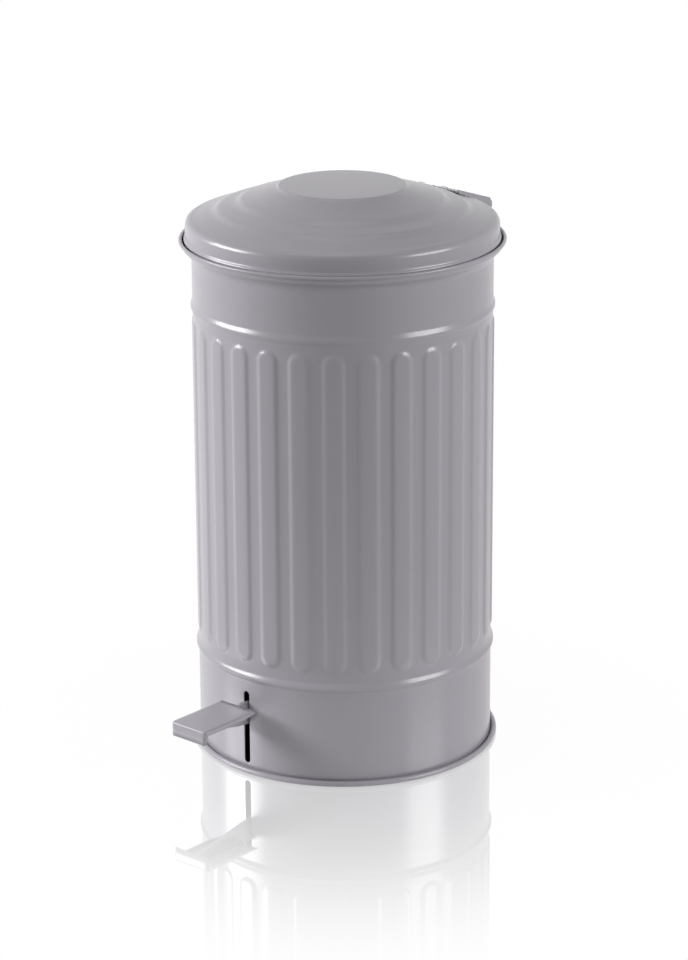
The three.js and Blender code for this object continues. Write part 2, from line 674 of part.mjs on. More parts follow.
function makeBucket() {
  const corner = arc([bucketBase - bucketCorner, bucketFoot + bucketCorner], bucketCorner, -Math.PI / 2, 0, 3);
  const outer = [[0, bucketFoot], ...corner, [bucketRadiusAt(bucketRim - 3), bucketRim - 3]];
  const inner = shifted(outer, bucketSheet);
  inner[0] = [0, bucketFoot + bucketSheet];
  const rollCentre = [bucketMouth + bucketRoll - bucketSheet, bucketRim];
  const roll = arc(rollCentre, bucketRoll, radians(-120), radians(170), 7);
  const shell = turned([...outer, ...roll, ...inner.reverse()], 48);
  add("bucket", cut(shell, ...earHoles(-1, 12), ...earHoles(1, 12)), galvanized);
}

function makeEars() {
  [-1, 1].forEach((side) => {
    const name = side < 0 ? "left" : "right";
    const face = bucketRadiusAt(bailHeight) + seatGap + 0.1;
    const low = bailHeight - earHeight * 0.6;
    const plate = block([-earSheet / 2, -earWidth / 2, low], [earSheet / 2, earWidth / 2, low + earHeight * 0.85]);
    plate.translate(0, 0, -bailHeight).rotateY(side * Math.atan(bucketSlope));
    plate.translate(side * (face + earSheet / 2), 0, bailHeight);
    add(`bail_ear_${name}`, cut(plate, ...earHoles(side, 20)), galvanized);
    const grip = earSheet + bucketSheet + seatGap;
    const pin = rivet(grip).rotateY(Math.PI / 2);
    const rivetZ = bailHeight - earRivetDrop;
    pin.translate(side * (bucketRadiusAt(rivetZ) - bucketSheet + grip / 2), 0, rivetZ);
    add(`bail_ear_rivet_${name}`, pin, zinc);
  });
}

const bailRadius = bucketMouth + 2 * bucketRoll - bucketSheet + bailGap + gripRadius;

// The bail hangs forward until its grip lies on the bucket's wall, which is narrower further down.
function bailRest(drop = 0) {
  return Math.acos((bucketRadiusAt(bailHeight - drop) + gripRadius + seatGap) / bailRadius);
}

// In through the right ear, half a circle round the front, in through the left ear.
function makeBail() {
  const bail = new THREE.Group();
  bail.position.set(0, 0, bailHeight);
  bail.rotation.x = bailRest(bailRadius * Math.sin(bailRest()));
  can.add(bail);
  const tip = bucketRadiusAt(bailHeight) - bucketSheet - wireTail;
  const bow = Array.from({ length: 25 }, (_, i) => radians(4 + (172 * i) / 24));
  const points = [[tip, 0], [bailRadius - 5, 0], [bailRadius - 2, -1], ...bow.map((a) => [
    bailRadius * Math.cos(a), -bailRadius * Math.sin(a)]), [-bailRadius + 2, -1], [-bailRadius + 5, 0], [-tip, 0]];
  const path = new THREE.CatmullRomCurve3(points.map(([x, y]) => new THREE.Vector3(x, y, 0)), false, "centripetal");
  const ring = new THREE.Shape().absarc(0, 0, bailWire, 0, 2 * Math.PI);
  add("bail_wire", new THREE.ExtrudeGeometry(ring, { extrudePath: path, steps: 60, curveSegments: 4 }), zinc, bail);
  const half = radians(gripSpan / 2);
  const arcPoints = Array.from({ length: 13 }, (_, i) => -Math.PI / 2 - half + (2 * half * i) / 12);
  const gripPath = new THREE.CatmullRomCurve3(arcPoints.map((a) => new THREE.Vector3(
    bailRadius * Math.cos(a), bailRadius * Math.sin(a), 0)));
  const wall = new THREE.Shape().absarc(0, 0, gripRadius, 0, 2 * Math.PI);
  wall.holes.push(new THREE.Path().absarc(0, 0, bailWire + pinGap, 0, 2 * Math.PI, true));
  add("bail_grip", new THREE.ExtrudeGeometry(wall, { extrudePath: gripPath, steps: 16, curveSegments: 5 }), nylon, bail);
}

// ---- Assembly -----------------------------------------------------------------------------------------------

makeTube();
makeBase();
makeLid();
makeLeaf();
makeCrankTab();
makePin();
makeBracket();
makePedal();
makePedalBracket();
makeRod();
makeGuides();
makePlatform();
makeBucket();
makeEars();
makeBail();

export default can;
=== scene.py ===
"""Step-on bin: fluted tube, domed lid on a rear hinge, foot plate and inner bucket, dressed for a picture."""

import json
import math

import bmesh
import bpy
import numpy as np
from mathutils import Matrix, Vector


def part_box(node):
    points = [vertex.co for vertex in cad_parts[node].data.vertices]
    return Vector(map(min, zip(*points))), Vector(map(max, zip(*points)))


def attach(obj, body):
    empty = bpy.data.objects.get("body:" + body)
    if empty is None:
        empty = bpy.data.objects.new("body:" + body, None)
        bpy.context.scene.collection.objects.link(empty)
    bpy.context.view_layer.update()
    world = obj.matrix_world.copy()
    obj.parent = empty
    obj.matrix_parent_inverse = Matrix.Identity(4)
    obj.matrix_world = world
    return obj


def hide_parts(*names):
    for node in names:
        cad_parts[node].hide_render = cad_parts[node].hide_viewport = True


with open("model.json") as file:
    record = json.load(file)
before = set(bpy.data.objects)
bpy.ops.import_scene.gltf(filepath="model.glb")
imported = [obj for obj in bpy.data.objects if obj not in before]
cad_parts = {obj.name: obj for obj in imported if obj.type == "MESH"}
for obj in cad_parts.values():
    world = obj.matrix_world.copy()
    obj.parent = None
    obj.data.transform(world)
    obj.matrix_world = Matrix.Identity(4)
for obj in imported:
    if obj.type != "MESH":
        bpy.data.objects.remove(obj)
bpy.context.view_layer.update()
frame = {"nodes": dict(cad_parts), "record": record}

bl_info = {
    "name": "Step-on Bin",
    "version": (1, 0, 0),
    "blender": (4, 5, 0),
    "location": "3D Viewport > Sidebar > Bin",
    "description": "Builds the skins, fittings and finishes of a step-on bin round its packed frame",
    "category": "Add Mesh",
}

MM = 0.001


def span(node):
    """Lowest and highest corner of a frame node as numpy arrays, in metres."""
    low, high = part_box(node)
    return np.array(low), np.array(high)


# ---- Sizes and colours that a user would change ----------------------------------------------------------


def length(name, text, value):
    """A length in metres, shown in the scene's own unit."""
    return bpy.props.FloatProperty(name=name, description=text, default=value, unit="LENGTH", precision=5)


def share(name, text, value, high=1.0):
    """A plain number from 0 upwards."""
    return bpy.props.FloatProperty(name=name, description=text, default=value, min=0.0, max=high)


def colour(name, text, value):
    """A scene-linear colour."""
    return bpy.props.FloatVectorProperty(
        name=name, description=text, default=value, subtype="COLOR", size=3, min=0, max=1
    )


class TubeSettings(bpy.types.PropertyGroup):
    """Pressed shapes of the tube."""

    radius: length("Radius", "Outside of the plain tube", 140 * MM)
    sheet: length("Sheet", "Thickness of the tube's steel", 1 * MM)
    rim_height: length("Rim height", "Height of the middle of the rolled rim", 489.3 * MM)
    rim_roll: length("Rim roll", "Outside radius of the rolled rim", 1.7 * MM)
    lower_bead_rise: length("Lower bead rise", "How far the lower bead stands out", 2.4 * MM)
    upper_bead_rise: length("Upper bead rise", "How far the upper bead stands out", 1.7 * MM)
    bead_half: length("Bead half width", "Height of a bead above its middle", 6.4 * MM)
    bead_under: length("Bead underside", "Height of a bead below its middle", 4 * MM)
    lower_bead: length("Lower bead", "Height of the lower bead", 95.6 * MM)
    upper_bead: length("Upper bead", "Height of the upper bead", 427.7 * MM)
    flute_bottom: length("Flute bottom", "Height where the flutes start", 109 * MM)
    flute_top: length("Flute top", "Height where the flutes end", 417.5 * MM)
    flute_count: bpy.props.IntProperty(name="Flutes", description="Flutes round the tube", default=28)
    flute_turn: bpy.props.FloatProperty(
        name="Flute turn",
        description="Angle of a flute's middle from the X axis",
        default=math.radians(-1.05),
        subtype="ANGLE",
    )
    flute_width: length("Flute width", "Width of a flute across its foot", 24 * MM)
    flute_flank: length("Flute flank", "Width of a flute's sloping side", 5.6 * MM)
    flute_crown: length("Flute crown", "Height of a flute above the plain tube", 1 * MM)
    flute_valley: length("Flute valley", "Depth of the wall between two flutes", 0.4 * MM)
    slot_width: length("Slot width", "Width of the pedal's slot", 7 * MM)
    slot_low: length("Slot bottom", "Height of the slot's lower end", 9 * MM)
    slot_high: length("Slot top", "Height of the slot's upper end", 81 * MM)


class LidSettings(bpy.types.PropertyGroup):
    """Shape of the lid."""

    sheet: length("Sheet", "Thickness of the lid's steel", 1 * MM)
    skirt_radius: length("Skirt radius", "Outside of the skirt", 145.6 * MM)
    hem_flare: length("Hem flare", "How far the skirt's foot turns outwards", 1.3 * MM)
    slope: bpy.props.FloatProperty(
        name="Slope", description="Slope of the lid's cone", default=math.radians(18.5), subtype="ANGLE"
    )


class BinFinishSettings(bpy.types.PropertyGroup):
    """Finishes."""

    paint: colour("Paint", "Colour of the satin paint", (0.390, 0.370, 0.412))
    paint_roughness: share("Paint roughness", "Gloss of the paint", 0.25)
    zinc: colour("Zinc", "Colour of the plated fittings", (0.47, 0.49, 0.51))
    galvanized: colour("Galvanized", "Colour of the bucket's sheet", (0.36, 0.385, 0.40))
    nylon: colour("Nylon", "Colour of the moulded cap and grip", (0.016, 0.0165, 0.018))


class BinStageSettings(bpy.types.PropertyGroup):
    """Light and floor."""

    left_power: share("Left light", "Power of the large light on the left, in watts", 34.5, 500)
    right_power: share("Right light", "Power of the light on the right, in watts", 18.5, 500)
    top_power: share("Overhead light", "Power of the wide light overhead, in watts", 6.5, 500)
    ambient: share("Ambient", "Level of the even light from all round", 0.1)
    floor_mirror: share("Floor mirror", "Share of the reflection in the floor at the bin's foot", 0.47)


# ---- Surfaces --------------------------------------------------------------------------------------------


def grid_cells(rows, columns, round_rows=False, round_columns=False):
    """Corner numbers of every cell of a grid. Rows run along the profile, columns anticlockwise round it."""
    i = np.arange(rows if round_rows else rows - 1)[:, None]
    j = np.arange(columns if round_columns else columns - 1)[None, :]
    up, on = (i + 1) % rows, (j + 1) % columns
    return np.stack([i * columns + j, i * columns + on, up * columns + on, up * columns + j], -1)


def put_mesh(name, parts, material, body, smooth_to=32.0):
    """An object from (points, cells) pairs, joined where corners meet, with sharp edges past an angle."""
    points = np.concatenate([np.asarray(p, float).reshape(-1, 3) for p, _ in parts])
    starts = np.cumsum([0] + [np.asarray(p).reshape(-1, 3).shape[0] for p, _ in parts[:-1]])
    cells = np.concatenate([np.asarray(c).reshape(-1, 4) + start for (_, c), start in zip(parts, starts)])
    mesh = bpy.data.meshes.new(name)
    mesh.from_pydata(points.tolist(), [], cells.tolist())
    tidy = bmesh.new()
    tidy.from_mesh(mesh)
    merge = 0.001 * MM
    bmesh.ops.remove_doubles(tidy, verts=tidy.verts, dist=merge)
    bmesh.ops.dissolve_degenerate(tidy, edges=tidy.edges, dist=merge)
    tidy.to_mesh(mesh)
    tidy.free()
    mesh.shade_smooth()
    mesh.set_sharp_from_angle(angle=math.radians(smooth_to))
    mesh.materials.append(material)
    piece = bpy.data.objects.new(name, mesh)
    bpy.context.scene.collection.objects.link(piece)
    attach(piece, body)
    return piece


def through(points, steps):
    """A smooth line through the given points: a Catmull-Rom cubic between each pair, steps samples each."""
    p = np.asarray(points, float)
    ends = np.concatenate([[2 * p[0] - p[1]], p, [2 * p[-1] - p[-2]]])
    t = np.linspace(0, 1, steps, endpoint=False)[None, :, None]
    a, b, c, d = (ends[k : len(ends) - 3 + k][:, None, :] for k in range(4))
    line = 0.5 * (2 * b + (c - a) * t + (2 * a - 5 * b + 4 * c - d) * t**2 + (3 * b - a - 3 * c + d) * t**3)
    return np.concatenate([line.reshape(-1, p.shape[1]), p[-1:]])


def arc(centre, radius, start, end, steps):
    """Points on a circle from one angle to another, in degrees."""
    a = np.radians(np.linspace(start, end, steps + 1))
    return np.stack([centre[0] + radius * np.cos(a), centre[1] + radius * np.sin(a)], -1)


def rows(*heights):
    """One straight run of heights after another, each given as (first, last, steps)."""
    return np.concatenate([np.linspace(low, high, steps, endpoint=False) for low, high, steps in heights])


def sideways(line, distance):
    """A line moved to its left: each point goes along its direction of travel, turned a quarter left."""
    ahead = np.gradient(line, axis=0)
    ahead /= np.maximum(np.linalg.norm(ahead, axis=1, keepdims=True), 1e-12)
    moved = line + distance * np.stack([-ahead[:, 1], ahead[:, 0]], -1)
    moved[:, 0] = np.maximum(moved[:, 0], 0)
    return moved


def sheet_loop(line, sheet):
    """A line on the outside of a sheet, and the same line one sheet further in, joined into a closed loop."""
    inner = sideways(line, sheet)
    inner[line[:, 0] < 1e-9, 0] = 0
    return np.concatenate([line, inner[::-1]])


def turned(loop, columns=192):
    """A surface of revolution: a point (r, z) of the loop at angle a lies at (r cos a, r sin a, z)."""
    a = np.linspace(0, 2 * math.pi, columns, endpoint=False)
    r, z = loop[:, :1], loop[:, 1:]
    points = np.stack([r * np.cos(a), r * np.sin(a), z + 0 * a], -1)
    closed = loop[0, 0] > 1e-9 or loop[-1, 0] > 1e-9
    return points, grid_cells(len(loop), columns, closed, True)


def aimed(points, centre, axis):
    """Points built round +Z, turned so that +Z points along an axis, and moved to a centre."""
    turn = np.array(Vector((0, 0, 1)).rotation_difference(Vector(axis).normalized()).to_matrix())
    return points @ turn.T + np.asarray(centre)


def merged_copy(node):
    """A frame node's mesh with its shared corners joined and its flat faces made whole."""
    source = frame["nodes"][node].data
    tidy = bmesh.new()
    tidy.from_mesh(source)
    bmesh.ops.remove_doubles(tidy, verts=tidy.verts, dist=2e-6)
    bmesh.ops.dissolve_limit(
        tidy, angle_limit=math.radians(1.0), use_dissolve_boundaries=False, verts=tidy.verts, edges=tidy.edges
    )
    mesh = bpy.data.meshes.new(node + "_skin")
    tidy.to_mesh(mesh)
    tidy.free()
    return mesh


def softened(node, body, material, edge=0.4 * MM):
    """A frame node's shape with its cut edges rounded over by a bevel, standing in for the node."""
    mesh = merged_copy(node)
    mesh.materials.clear()
    mesh.materials.append(material)
    mesh.shade_smooth()
    mesh.set_sharp_from_angle(angle=math.radians(32))
    piece = bpy.data.objects.new(node + "_soft", mesh)
    bpy.context.scene.collection.objects.link(piece)
    bevel = piece.modifiers.new("rounded edges", "BEVEL")
    bevel.width = edge
    bevel.segments = 2
    bevel.limit_method = "ANGLE"
    bevel.angle_limit = math.radians(32)
    bevel.use_clamp_overlap = True
    bevel.harden_normals = True
    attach(piece, body)
    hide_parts(node)
    return piece


# ---- Finishes --------------------------------------------------------------------------------------------


def group(name, inputs, outputs):
    """An empty shader node group with named inputs and outputs."""
    made = bpy.data.node_groups.new(name, "ShaderNodeTree")
    for label, kind, value in inputs:
        socket = made.interface.new_socket(name=label, in_out="INPUT", socket_type=kind)
        if value is not None:
            socket.default_value = value
    for label, kind in outputs:
        made.interface.new_socket(name=label, in_out="OUTPUT", socket_type=kind)
    start = made.nodes.new("NodeGroupInput")
    end = made.nodes.new("NodeGroupOutput")
    return made, start, end


def node(tree, kind, **settings):
    """A shader node with its settings; a name that is an input's sets that input."""
    made = tree.nodes.new("ShaderNode" + kind)
    for key, value in settings.items():
        if hasattr(made, key):
            setattr(made, key, value)
        else:
            made.inputs[key.replace("_", " ")].default_value = value
    return made


def maths(tree, operation, a, b=None):
    """One sum of one or two numbers or sockets."""
    made = tree.nodes.new("ShaderNodeMath")
    made.operation = operation
    for place, value in enumerate((a, b)):
        if value is None:
            continue
        if isinstance(value, bpy.types.NodeSocket):
            tree.links.new(value, made.inputs[place])
        else:
            made.inputs[place].default_value = value
    return made.outputs[0]


def remap(tree, value, low, high, new_low=0.0, new_high=1.0):
    """A value's range stretched onto another range, held at its ends."""
    made = tree.nodes.new("ShaderNodeMapRange")
    tree.links.new(value, made.inputs["Value"])
    for label, number in (("From Min", low), ("From Max", high), ("To Min", new_low), ("To Max", new_high)):
        made.inputs[label].default_value = number
    return made.outputs["Result"]


def blend_colours(tree, amount, first, second):
    """Two colours mixed by an amount."""
    made = tree.nodes.new("ShaderNodeMix")
    made.data_type = "RGBA"
    for value, place in ((amount, 0), (first, 6), (second, 7)):
        if isinstance(value, bpy.types.NodeSocket):
            tree.links.new(value, made.inputs[place])
        else:
            made.inputs[place].default_value = value
    return made.outputs[2]


def spray_group():
    """Sprayed paint: a fine ripple in the height, and slow drifts of tone and gloss."""
    made, start, end = group(
        "Sprayed coat",
        [("Ripple Scale", "NodeSocketFloat", 420.0), ("Drift Scale", "NodeSocketFloat", 9.0)],
        [("Ripple", "NodeSocketFloat"), ("Drift", "NodeSocketFloat")],
    )
    where = made.nodes.new("ShaderNodeTexCoord").outputs["Object"]
    ripple = node(made, "TexNoise", Detail=2.0, Roughness=0.45)
    drift = node(made, "TexNoise", Detail=3.0, Roughness=0.55)
    for texture in (ripple, drift):
        made.links.new(where, texture.inputs["Vector"])
    made.links.new(start.outputs["Ripple Scale"], ripple.inputs["Scale"])
    made.links.new(start.outputs["Drift Scale"], drift.inputs["Scale"])
    made.links.new(ripple.outputs["Fac"], end.inputs["Ripple"])
    made.links.new(remap(made, drift.outputs["Fac"], 0.3, 0.7), end.inputs["Drift"])
    return made


def handling_group():
    """Wear from use: soft smudges, and sparse hair scratches inside them."""
    made, start, end = group(
        "Handling wear",
        [("Scratch Scale", "NodeSocketFloat", 90.0), ("Amount", "NodeSocketFloat", 0.5)],
        [("Scratch", "NodeSocketFloat"), ("Smudge", "NodeSocketFloat")],
    )
    where = made.nodes.new("ShaderNodeTexCoord").outputs["Object"]
    squeeze = node(made, "Mapping")
    squeeze.inputs["Rotation"].default_value = (0.35, 0.2, 0.6)
    squeeze.inputs["Scale"].default_value = (1.0, 7.0, 5.0)
    made.links.new(where, squeeze.inputs["Vector"])
    hair = node(made, "TexNoise", Detail=4.0, Roughness=0.7)
    made.links.new(squeeze.outputs["Vector"], hair.inputs["Vector"])
    made.links.new(start.outputs["Scratch Scale"], hair.inputs["Scale"])
    off_middle = maths(made, "ABSOLUTE", maths(made, "SUBTRACT", hair.outputs["Fac"], 0.5))
    line = remap(made, off_middle, 0.0, 0.012, 1.0, 0.0)
    smudge = node(made, "TexNoise", Detail=3.0, Scale=22.0, Roughness=0.6)
    made.links.new(where, smudge.inputs["Vector"])
    soft = remap(made, smudge.outputs["Fac"], 0.48, 0.75)
    scratch = maths(made, "MULTIPLY", line, soft)
    made.links.new(maths(made, "MULTIPLY", scratch, start.outputs["Amount"]), end.inputs["Scratch"])
    made.links.new(maths(made, "MULTIPLY", soft, start.outputs["Amount"]), end.inputs["Smudge"])
    return made


def spangle_group():
    """Crystals of a zinc bath: patches that each have a tone of their own, with feathered borders."""
    made, start, end = group(
        "Zinc spangle",
        [("Crystal Scale", "NodeSocketFloat", 95.0), ("Feather", "NodeSocketFloat", 0.012)],
        [("Tone", "NodeSocketFloat"), ("Border", "NodeSocketFloat")],
    )
    where = made.nodes.new("ShaderNodeTexCoord").outputs["Object"]
    waver = node(made, "TexNoise", Detail=3.0, Scale=160.0)
    made.links.new(where, waver.inputs["Vector"])
    shift = made.nodes.new("ShaderNodeVectorMath")
    shift.operation = "SCALE"
    made.links.new(waver.outputs["Color"], shift.inputs[0])
    made.links.new(start.outputs["Feather"], shift.inputs["Scale"])
    moved = made.nodes.new("ShaderNodeVectorMath")
    moved.operation = "ADD"
    made.links.new(where, moved.inputs[0])
    made.links.new(shift.outputs["Vector"], moved.inputs[1])
    crystal = node(made, "TexVoronoi")
    border = node(made, "TexVoronoi", feature="DISTANCE_TO_EDGE")
    for texture in (crystal, border):
        made.links.new(moved.outputs["Vector"], texture.inputs["Vector"])
        made.links.new(start.outputs["Crystal Scale"], texture.inputs["Scale"])
    tone = made.nodes.new("ShaderNodeSeparateColor")
    made.links.new(crystal.outputs["Color"], tone.inputs["Color"])
    made.links.new(tone.outputs["Red"], end.inputs["Tone"])
    made.links.new(remap(made, border.outputs["Distance"], 0.0, 0.09), end.inputs["Border"])
    return made


def start_material(name, metallic, roughness, specular=0.5):
    """A material with its Principled shader and the plain numbers set on the shader itself."""
    made = bpy.data.materials.new(name)
    made.use_nodes = True
    tree = made.node_tree
    shader = tree.nodes["Principled BSDF"]
    shader.inputs["Metallic"].default_value = metallic
    shader.inputs["Roughness"].default_value = roughness
    shader.inputs["Specular IOR Level"].default_value = specular
    return made, tree, shader


def placed(tree, made, **values):
    """A group placed in a material with its own values."""
    box = tree.nodes.new("ShaderNodeGroup")
    box.node_tree = made
    for label, value in values.items():
        box.inputs[label.replace("_", " ")].default_value = value
    return box.outputs


def bump(tree, shader, height, distance, strength=1.0):
    """A height in metres of relief, fed to the shader's normal."""
    made = tree.nodes.new("ShaderNodeBump")
    made.inputs["Distance"].default_value = distance
    made.inputs["Strength"].default_value = strength
    tree.links.new(height, made.inputs["Height"])
    tree.links.new(made.outputs["Normal"], shader.inputs["Normal"])


def rgba(values, gain=1.0):
    """A colour with its alpha, scaled."""
    return (*[min(v * gain, 1.0) for v in values], 1.0)


def satin_paint(name, groups, settings, wear=0.0, ripple=0.00001):
    """Satin paint on steel: a sprayed ripple, a faint drift of tone and gloss, and duller wear underfoot.

    Paint that wavers across roughness 0.27 came out of the picture's noise filter in patches. So the plain
    paint stays below it and worn paint above.
    """
    dull = settings.paint_roughness + 0.06 * wear
    made, tree, shader = start_material(name, 0.0, dull, 0.55)
    coat = placed(tree, groups["spray"], Ripple_Scale=380.0, Drift_Scale=7.0)
    touched = placed(tree, groups["handling"], Amount=0.1 + wear, Scratch_Scale=70.0)
    base = blend_colours(tree, coat["Drift"], rgba(settings.paint, 0.992), rgba(settings.paint, 1.008))
    scratched = maths(tree, "MULTIPLY", touched["Scratch"], 0.4 * wear)
    worn = blend_colours(tree, scratched, base, rgba((0.62, 0.62, 0.63)))
    tree.links.new(worn, shader.inputs["Base Color"])
    gloss = remap(tree, coat["Drift"], 0.0, 1.0, dull - 0.01, dull + 0.01)
    gloss = maths(tree, "ADD", gloss, maths(tree, "MULTIPLY", touched["Smudge"], 0.05))
    tree.links.new(gloss, shader.inputs["Roughness"])
    bump(tree, shader, coat["Ripple"], ripple)
    return made


def bright_zinc(name, groups, settings):
    """Bright zinc plating: a metal with a faint blue-grey cloud, hair scratches and a fine drawn grain."""
    made, tree, shader = start_material(name, 1.0, 0.32)
    coat = placed(tree, groups["spray"], Ripple_Scale=900.0, Drift_Scale=60.0)
    touched = placed(tree, groups["handling"], Amount=0.9, Scratch_Scale=160.0)
    tone = blend_colours(tree, coat["Drift"], rgba(settings.zinc, 0.86), rgba(settings.zinc, 1.1))
    smudged = maths(tree, "MULTIPLY", touched["Smudge"], 0.3)
    tone = blend_colours(tree, smudged, tone, rgba(settings.zinc, 0.72))
    tree.links.new(tone, shader.inputs["Base Color"])
    gloss = remap(tree, coat["Drift"], 0.0, 1.0, 0.27, 0.38)
    gloss = maths(tree, "ADD", gloss, maths(tree, "MULTIPLY", touched["Scratch"], 0.2))
    tree.links.new(gloss, shader.inputs["Roughness"])
    bump(tree, shader, coat["Ripple"], 0.00002)
    return made


def spangled_sheet(name, groups, settings):
    """Galvanized sheet: crystals of differing tone and gloss, dull patches where it has been wiped."""
    made, tree, shader = start_material(name, 1.0, 0.45)
    bath = placed(tree, groups["spangle"], Crystal_Scale=85.0, Feather=0.01)
    touched = placed(tree, groups["handling"], Amount=0.8, Scratch_Scale=60.0)
    tone = blend_colours(tree, bath["Tone"], rgba(settings.galvanized, 0.8), rgba(settings.galvanized, 1.3))
    tone = blend_colours(tree, bath["Border"], rgba(settings.galvanized, 0.9), tone)
    smudged = maths(tree, "MULTIPLY", touched["Smudge"], 0.3)
    tone = blend_colours(tree, smudged, tone, rgba(settings.galvanized, 0.8))
    tree.links.new(tone, shader.inputs["Base Color"])
    gloss = remap(tree, bath["Tone"], 0.0, 1.0, 0.34, 0.52)
    gloss = maths(tree, "ADD", gloss, maths(tree, "MULTIPLY", touched["Smudge"], 0.1))
    tree.links.new(gloss, shader.inputs["Roughness"])
    bump(tree, shader, bath["Tone"], 0.00003)
    return made


def moulded_nylon(name, groups, settings):
    """Black moulded nylon: a fine spark-eroded grain with slightly polished patches."""
    made, tree, shader = start_material(name, 0.0, 0.5, 0.4)
    grain = placed(tree, groups["spray"], Ripple_Scale=1600.0, Drift_Scale=50.0)
    tone = blend_colours(tree, grain["Drift"], rgba(settings.nylon, 0.9), rgba(settings.nylon, 1.5))
    tree.links.new(tone, shader.inputs["Base Color"])
    tree.links.new(remap(tree, grain["Drift"], 0.0, 1.0, 0.44, 0.58), shader.inputs["Roughness"])
    bump(tree, shader, grain["Ripple"], 0.00005)
    return made


def finishes():
    """The finishes by slot name, built once."""
    if "satin paint" not in bpy.data.materials:
        settings = bpy.context.scene.bin_finish
        groups = {"spray": spray_group(), "handling": handling_group(), "spangle": spangle_group()}
        satin_paint("satin paint", groups, settings)
        satin_paint("satin paint underfoot", groups, settings, wear=0.9, ripple=0.00008)
        bright_zinc("bright zinc", groups, settings)
        spangled_sheet("spangled sheet", groups, settings)
        moulded_nylon("moulded nylon", groups, settings)
    names = {
        "paint": "satin paint",
        "tread": "satin paint underfoot",
        "zinc": "bright zinc",
        "galvanized": "spangled sheet",
        "nylon": "moulded nylon",
    }
    return {slot: bpy.data.materials[name] for slot, name in names.items()}


# ---- Tube ------------------------------------------------------------------------------------------------


# The part of the wall round the slot that has a grid of its own
WINDOW_HALF_WIDTH = 14 * MM
WINDOW_LOW, WINDOW_HIGH = 4 * MM, 88.5 * MM


def pressed_out(height, along, s):
    """How far the flutes push the wall out, in metres.

    A flute is a stadium. The distance from the nearest point of the line up its middle, taken from the half
    width, climbs over the flank by the smooth step 3t^2 - 2t^3 from the valley to the crown.
    """
    half = s.flute_width / 2
    nearest = np.clip(height, s.flute_bottom + half, s.flute_top - half)
    inwards = half - np.hypot(along, height - nearest)
    t = np.clip(inwards / s.flute_flank, 0, 1)
    inside = np.clip(np.minimum(height - s.flute_bottom, s.flute_top - height) / (4 * MM) + 1, 0, 1)
    return (3 * t**2 - 2 * t**3) * (s.flute_crown + s.flute_valley) - s.flute_valley * inside


def tube_line(s):
    """Middle of the tube's sheet from its foot up: wall, bead, fluted wall, bead, collar and rolled rim."""
    wall = s.radius - s.sheet / 2
    foot = span("body_shell")[0][2]
    half = s.bead_half
    heights = rows(
        (foot, 9 * MM, 2),
        (9 * MM, 16 * MM, 3),
        (16 * MM, 73 * MM, 5),
        (73 * MM, s.lower_bead - half, 5),
        (s.lower_bead - half, s.lower_bead + half, 13),
        (s.lower_bead + half, s.flute_bottom, 2),
        (s.flute_bottom, s.flute_bottom + 13 * MM, 10),
        (s.flute_bottom + 13 * MM, s.flute_top - 13 * MM, 4),
        (s.flute_top - 13 * MM, s.flute_top, 10),
        (s.flute_top, s.upper_bead - half, 2),
        (s.upper_bead - half, s.upper_bead + half, 13),
        (s.upper_bead + half, 471 * MM, 3),
    )
    out = np.zeros_like(heights)
    for middle, rise in ((s.lower_bead, s.lower_bead_rise), (s.upper_bead, s.upper_bead_rise)):
        below = np.where(heights < middle, s.bead_under, half)
        off = np.clip((heights - middle) / below, -1, 1)
        out += rise * np.cos(off * math.pi / 2) ** 2
    straight = np.stack([wall + out, heights], -1)
    reach = span("body_shell")[1][0] - s.rim_roll
    roll = s.rim_roll - s.sheet / 2
    collar = through(
        [
            (wall, 471 * MM),
            (wall + 0.4 * MM, 475 * MM),
            (wall + 3.6 * MM, 479.6 * MM),
            (reach - roll - 1.1 * MM, 484.2 * MM),
            (reach - roll, s.rim_height - 1.5 * MM),
        ],
        3,
    )
    rim = arc((reach, s.rim_height), roll, 180, -90, 10)
    return np.concatenate([straight, collar, rim])


def tube_columns(s):
    """Angles of the columns, closer on the flutes' sides, and each one's distance from its flute's middle."""
    half, flank = s.flute_width / 2, s.flute_flank
    across = rows((-half, -half + flank, 5), (-half + flank, half - flank, 6), (half - flank, half, 5))
    pitch = 2 * math.pi * s.radius / s.flute_count
    across = np.concatenate([across, np.linspace(half, pitch - half, 2, endpoint=False)])
    middles = s.flute_turn + np.arange(s.flute_count) * 2 * math.pi / s.flute_count
    angles = (middles[:, None] + across[None, :] / s.radius).ravel()
    along = np.tile(np.where(across > pitch / 2, across - pitch, across), s.flute_count)
    return angles, along


def slot_ring(points, window, s):
    """The wall round the slot, on a grid of its own.

    Each point of the window's edge is joined, by four rings, to the nearest point of the slot's outline, half
    the slot's width away from its middle line. One wall's rings come first, then the other's backwards.
    """
    half = s.slot_width / 2
    edge = []
    for wall in points:
        around = wall[window]
        radius = np.hypot(around[:, 0], around[:, 1])
        side = np.arctan2(around[:, 1], around[:, 0]) + math.pi / 2
        flat = np.stack([side * s.radius, around[:, 2]], -1)
        middle = np.stack([0 * side, np.clip(flat[:, 1], s.slot_low + half, s.slot_high - half)], -1)
        away = flat - middle
        hole = middle + half * away / np.linalg.norm(away, axis=1, keepdims=True)
        share_in = np.array([0.0, 0.45, 0.8, 1.0])[:, None, None]
        flat = flat * (1 - share_in) + hole * share_in
        angle = flat[..., 0] / s.radius - math.pi / 2
        edge.append(np.stack([radius * np.cos(angle), radius * np.sin(angle), flat[..., 1]], -1))
    ring = np.concatenate([edge[0], edge[1][::-1]])
    return ring, grid_cells(len(ring), ring.shape[1], False, True)


